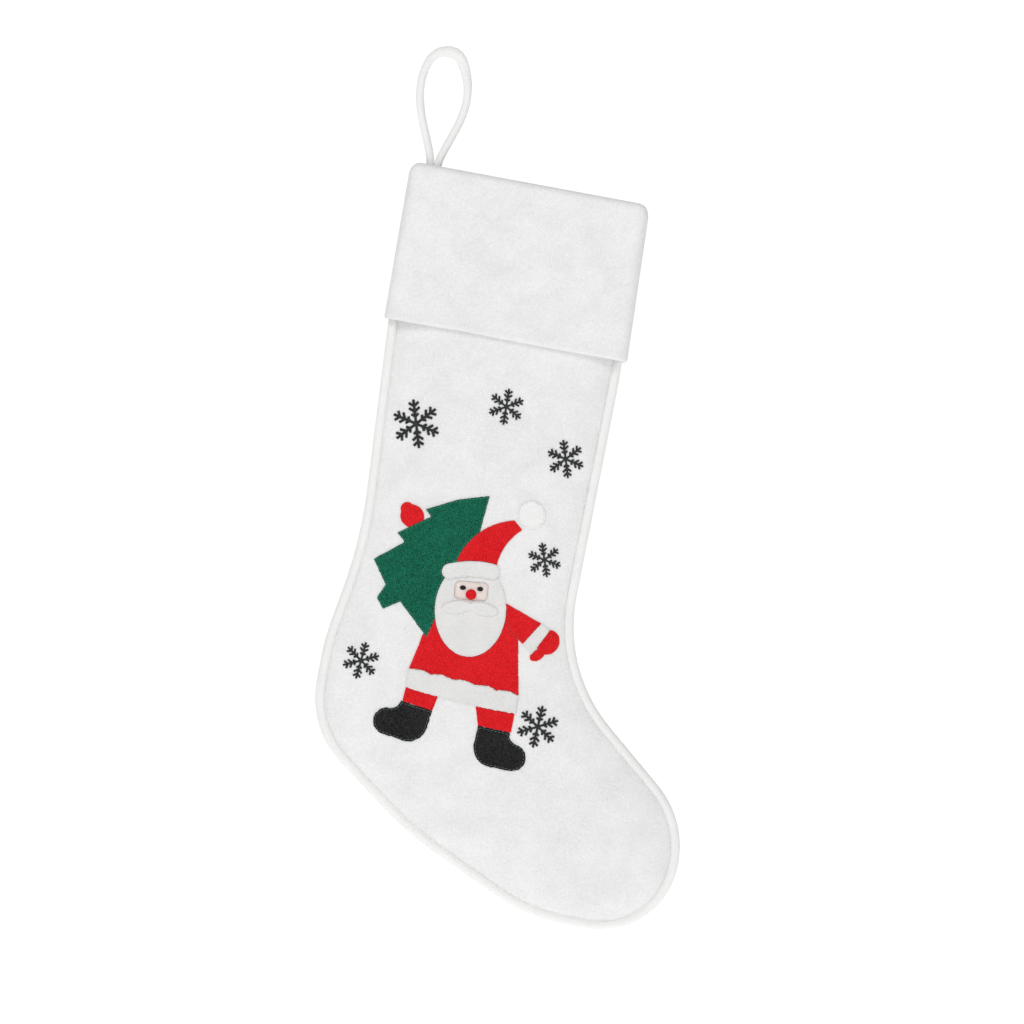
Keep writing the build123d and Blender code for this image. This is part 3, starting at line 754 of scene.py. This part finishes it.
# ---------------------------------------------------------------- stitches
# Thread laid by machine: short running stitches just inside the felt edges, and close rows of satin
# stitch across each arm of the snowflakes.
def stitch_tree():
    """Geometry Nodes that lay one rounded stitch at each step along a line."""
    tree = bpy.data.node_groups.new("stitching", "GeometryNodeTree")
    tree.interface.new_socket("Geometry", in_out="INPUT", socket_type="NodeSocketGeometry")
    for socket, kind, value in (
        ("Pitch", "NodeSocketFloat", 0.002), ("Length", "NodeSocketFloat", 0.0015),
        ("Width", "NodeSocketFloat", 0.0003), ("Rise", "NodeSocketFloat", 0.0003),
        ("Turn", "NodeSocketFloat", 0.0), ("Unevenness", "NodeSocketFloat", 0.1),
        ("Thread", "NodeSocketMaterial", None),
    ):
        made = tree.interface.new_socket(socket, in_out="INPUT", socket_type=kind)
        if value is not None:
            made.default_value = value
    tree.interface.new_socket("Geometry", in_out="OUTPUT", socket_type="NodeSocketGeometry")
    nodes, links = tree.nodes, tree.links

    def node(kind, **settings):
        made = nodes.new(kind)
        for name, value in settings.items():
            setattr(made, name, value)
        return made

    given, result = node("NodeGroupInput"), node("NodeGroupOutput")
    line = node("GeometryNodeMeshToCurve")
    links.new(given.outputs["Geometry"], line.inputs["Mesh"])
    steps = node("GeometryNodeResampleCurve", mode="LENGTH")
    links.new(line.outputs["Curve"], steps.inputs["Curve"])
    links.new(given.outputs["Pitch"], steps.inputs["Length"])
    grain = node("GeometryNodeMeshUVSphere")
    grain.inputs["Segments"].default_value = 8
    grain.inputs["Rings"].default_value = 5
    grain.inputs["Radius"].default_value = 0.5
    upright = node("FunctionNodeAlignRotationToVector", axis="Z", pivot_axis="AUTO")
    upright.inputs["Vector"].default_value = outward
    ahead = node("FunctionNodeAlignRotationToVector", axis="X", pivot_axis="Z")
    tangent = node("GeometryNodeInputTangent")
    links.new(upright.outputs["Rotation"], ahead.inputs["Rotation"])
    links.new(tangent.outputs["Tangent"], ahead.inputs["Vector"])
    spin = node("FunctionNodeRandomValue", data_type="FLOAT")
    for socket in spin.inputs:
        if socket.name == "Seed":
            socket.default_value = 11
    low, high = [s for s in spin.inputs if s.name in ("Min", "Max") and s.type == "VALUE"][:2]
    less = node("ShaderNodeMath", operation="MULTIPLY")
    less.inputs[1].default_value = -1.0
    links.new(given.outputs["Unevenness"], less.inputs[0])
    links.new(less.outputs[0], low)
    links.new(given.outputs["Unevenness"], high)
    drawn = [s for s in spin.outputs if s.type == "VALUE"][0]
    total = node("ShaderNodeMath", operation="ADD")
    links.new(given.outputs["Turn"], total.inputs[0])
    links.new(drawn, total.inputs[1])
    axis_angle = node("FunctionNodeAxisAngleToRotation")
    axis_angle.inputs["Axis"].default_value = (0, 0, 1)
    links.new(total.outputs[0], axis_angle.inputs["Angle"])
    turned_by = node("FunctionNodeRotateRotation", rotation_space="LOCAL")
    links.new(ahead.outputs["Rotation"], turned_by.inputs["Rotation"])
    links.new(axis_angle.outputs["Rotation"], turned_by.inputs["Rotate By"])
    size = node("ShaderNodeCombineXYZ")
    links.new(given.outputs["Length"], size.inputs["X"])
    links.new(given.outputs["Width"], size.inputs["Y"])
    links.new(given.outputs["Rise"], size.inputs["Z"])
    laid = node("GeometryNodeInstanceOnPoints")
    links.new(steps.outputs["Curve"], laid.inputs["Points"])
    links.new(grain.outputs["Mesh"], laid.inputs["Instance"])
    links.new(turned_by.outputs["Rotation"], laid.inputs["Rotation"])
    links.new(size.outputs["Vector"], laid.inputs["Scale"])
    real = node("GeometryNodeRealizeInstances")
    links.new(laid.outputs["Instances"], real.inputs["Geometry"])
    smooth = node("GeometryNodeSetShadeSmooth")
    links.new(real.outputs["Geometry"], smooth.inputs["Geometry"])
    finish = node("GeometryNodeSetMaterial")
    links.new(smooth.outputs["Geometry"], finish.inputs["Geometry"])
    links.new(given.outputs["Thread"], finish.inputs["Material"])
    links.new(finish.outputs["Geometry"], result.inputs["Geometry"])
    return tree


stitching = stitch_tree()


def stitched(name, lines, thread, **sizes):
    """Stitches along lines of row-frame points, as one plain mesh."""
    points, edges = [], []
    for line, closed in lines:
        start = len(points)
        points += line
        edges += [(start + place, start + place + 1) for place in range(len(line) - 1)]
        if closed:
            edges.append((start + len(line) - 1, start))
    mesh = bpy.data.meshes.new(name)
    mesh.from_pydata([tuple(point) for point in points], edges, [])
    piece = bpy.data.objects.new(name, mesh)
    bpy.context.scene.collection.objects.link(piece)
    layer = piece.modifiers.new("stitching", "NODES")
    layer.node_group = stitching
    sockets = {s.name: s.identifier for s in stitching.interface.items_tree if s.in_out == "INPUT"}
    for socket, value in {**sizes, "Thread": thread}.items():
        layer[sockets[socket]] = value
    graph = bpy.context.evaluated_depsgraph_get()
    plain = bpy.data.meshes.new_from_object(piece.evaluated_get(graph))
    piece.modifiers.clear()
    piece.data = plain
    plain.name = name
    bpy.data.meshes.remove(mesh)
    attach(piece, "stocking")
    return piece


def thread_material(name, colour, roughness=0.5):
    material = bpy.data.materials.new(name)
    material.use_nodes = True
    nodes, links = material.node_tree.nodes, material.node_tree.links
    shader = nodes["Principled BSDF"]
    place = nodes.new("ShaderNodeTexCoord")
    twist = nodes.new("ShaderNodeTexNoise")
    twist.inputs["Scale"].default_value = 2500
    links.new(place.outputs["Object"], twist.inputs["Vector"])
    colours = nodes.new("ShaderNodeValToRGB")
    colours.color_ramp.elements[0].color = (*(0.65 * part for part in colour), 1)
    colours.color_ramp.elements[1].color = (*colour, 1)
    links.new(twist.outputs["Fac"], colours.inputs["Fac"])
    links.new(colours.outputs["Color"], shader.inputs["Base Color"])
    relief = nodes.new("ShaderNodeBump")
    relief.inputs["Distance"].default_value = 0.00005
    links.new(twist.outputs["Fac"], relief.inputs["Height"])
    links.new(relief.outputs["Normal"], shader.inputs["Normal"])
    shader.inputs["Roughness"].default_value = roughness
    return material


green_thread = thread_material("green_thread", (0.10, 0.30, 0.21))
red_thread = thread_material("red_thread", (0.80, 0.03, 0.03))
grey_thread = thread_material("grey_thread", (0.13, 0.19, 0.17))
white_thread = thread_material("white_thread", (0.84, 0.835, 0.82))
black_thread = thread_material("black_thread", (0.016, 0.020, 0.022), 0.38)


def edge_lines(node, inset, above):
    """Lines inside the edge of a felt shape, lying on its top."""
    lines = []
    for outline in front_outlines(node):
        even = resampled(outline, 1.0 * mm, closed=True)
        if len(even) < 8:
            continue
        area = sum(a.cross(b) for a, b in zip(even, even[1:] + even[:1])) / 2
        line = moved_aside(even, math.copysign(inset, area), closed=True)
        placed = [on_cloth(p.x, p.y, leg_height(p.x, p.y, 1) + above) for p in line]
        lines.append((placed, True))
    return lines


felt_top, pile_top = 0.66, 1.14        # top of each cloth over the panel, mm
fir_stitch = {"Pitch": 2.1 * mm, "Length": 1.5 * mm}
felt_stitch = {"Pitch": 1.4 * mm, "Length": 1.2 * mm}
boot_stitch = {"Pitch": 2.4 * mm, "Length": 1.9 * mm}
pile_stitch = {"Pitch": 0.9 * mm, "Length": 1.0 * mm}
edges = {"tree": (green_thread, 0.8, felt_top, fir_stitch, "green_felt")}
for node in ("coat", "sleeve", "hat", "hanging_mitten", "raised_mitten"):
    edges[node] = (red_thread, 0.6, felt_top, felt_stitch, "red_felt")
for node in ("left_boot", "right_boot"):
    edges[node] = (grey_thread, 1.1, felt_top, boot_stitch, "pale_thread")
for node in ("beard", "hat_brim", "pompom", "coat_hem_trim", "sleeve_trim"):
    edges[node] = (white_thread, 0.8, pile_top, pile_stitch, "white_pile")
for node, (thread, inset, above, sizes, slot) in edges.items():
    row = stitched(
        f"{node}_edge_stitches", edge_lines(node, inset * mm, above * mm), thread,
        Width=0.34 * mm, Rise=0.34 * mm, Unevenness=0.12, **sizes,
    )
    if node in ("left_boot", "right_boot"):
        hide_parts(f"{node}_stitching")

# ---------------------------------------------------------------- snowflakes
# Six small flakes embroidered in dark satin stitch. Every arm carries three pairs of side branches, and
# the threads lie side by side across each of them.
flake_arms = 6
stroke_share = 0.118
branches = ((0.30, 0.18), (0.50, 0.27), (0.73, 0.25))
branch_turn = math.radians(52)
flake_places = {
    "snowflake_upper_left": (33.2, -160.4, 31.9, 17.3),
    "snowflake_top": (86.5, -139.8, 23.8, 1.1),
    "snowflake_upper_right": (128.8, -165.1, 25.0, 17.5),
    "snowflake_mid_right": (127.3, -229.3, 22.5, 18.9),
    "snowflake_lower_left": (26.3, -311.7, 24.4, -5.1),
    "snowflake_lower_right": (142.1, -332.2, 27.8, -3.0),
}


def flat_line(start, stop, above):
    count = max(int((stop - start).length / (1.2 * mm)), 1)
    places = [start.lerp(stop, step / count) for step in range(count + 1)]
    return [on_cloth(p.x, p.y, leg_height(p.x, p.y, 1) + above) for p in places], False


for node, (u, v, height, turn) in flake_places.items():
    middle = Vector((u, v)) * mm
    arm = height * mm / 2 / (1 + stroke_share / 2)
    lines = []
    for number in range(flake_arms):
        angle = math.radians(turn + 90) + 2 * math.pi * number / flake_arms
        ahead = Vector((math.cos(angle), math.sin(angle)))
        lines.append(flat_line(middle, middle + ahead * arm, 0.22 * mm))
        for start, length in branches:
            for side in (-branch_turn, branch_turn):
                across = Vector((math.cos(angle + side), math.sin(angle + side)))
                root = middle + ahead * arm * start
                lines.append(flat_line(root, root + across * arm * length, 0.28 * mm))
    flake = stitched(
        f"{node}_satin", lines, black_thread, Pitch=0.30 * mm, Length=arm * stroke_share * 1.12,
        Width=0.42 * mm, Rise=0.85 * mm, Turn=math.pi / 2, Unevenness=0.10,
    )
    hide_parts(node)

# ---------------------------------------------------------------- hidden seams
# The lockstitch rows inside the leg, the stitches of the cuff's lip and the tack that holds the loop.
# All are white cotton thread, and lie between layers of felt.
for node in ("seam_thread", "cuff_seam_thread", "loop_tack"):
    frame["nodes"][node].data.materials.clear()
    frame["nodes"][node].data.materials.append(white_thread)

# ---------------------------------------------------------------- floor and light
# A pale floor well below the toe, under an even white sky. A key lamp from the upper left, a wide low
# fill from the right and one from the rear are all soft.
def stage_sheet(name, corners, material):
    mesh = bpy.data.meshes.new(name)
    mesh.from_pydata(corners, [], [(0, 1, 2, 3)])
    mesh.materials.append(material)
    sheet = bpy.data.objects.new(name, mesh)
    bpy.context.scene.collection.objects.link(sheet)
    return sheet


pale = bpy.data.materials.new("pale_floor")
pale.use_nodes = True
matt = pale.node_tree.nodes["Principled BSDF"]
matt.inputs["Base Color"].default_value = (0.9, 0.9, 0.9, 1)
matt.inputs["Roughness"].default_value = 1.0
matt.inputs["Emission Color"].default_value = (1, 1, 1, 1)
matt.inputs["Emission Strength"].default_value = 0.6
floor_height = cad_box[0][2] - 0.05
reach = 4.0
stage_sheet("floor", [(-reach, -reach, floor_height), (reach, -reach, floor_height),
                      (reach, reach, floor_height), (-reach, reach, floor_height)], pale)

world = bpy.data.worlds.new("studio")
world.use_nodes = True
nodes, links = world.node_tree.nodes, world.node_tree.links
sky = nodes["Background"]
sky.inputs["Color"].default_value = (1, 1, 1, 1)
sky.inputs["Strength"].default_value = 0.45
bright = nodes.new("ShaderNodeBackground")
bright.inputs["Color"].default_value = (1, 1, 1, 1)
bright.inputs["Strength"].default_value = 1.05
seen = nodes.new("ShaderNodeLightPath")
choice = nodes.new("ShaderNodeMixShader")
links.new(seen.outputs["Is Camera Ray"], choice.inputs[0])
links.new(sky.outputs[0], choice.inputs[1])
links.new(bright.outputs[0], choice.inputs[2])
links.new(choice.outputs[0], nodes["World Output"].inputs["Surface"])
bpy.context.scene.world = world


def soft_lamp(name, place, size, power):
    data = bpy.data.lights.new(name, "AREA")
    data.shape = "SQUARE"
    data.size = size
    data.energy = power
    lamp = bpy.data.objects.new(name, data)
    lamp.location = place
    lamp.rotation_euler = (aim - Vector(place)).to_track_quat("-Z", "Y").to_euler()
    bpy.context.scene.collection.objects.link(lamp)


soft_lamp("key", (-0.7, -1.5, 1.3), 0.8, 13.6)
soft_lamp("fill", (0.9, -2.2, 0.1), 1.4, 5.4)
soft_lamp("rear", (0.4, 2.2, 0.6), 1.4, 6.0)
bpy.context.scene.view_settings.view_transform = "Standard"
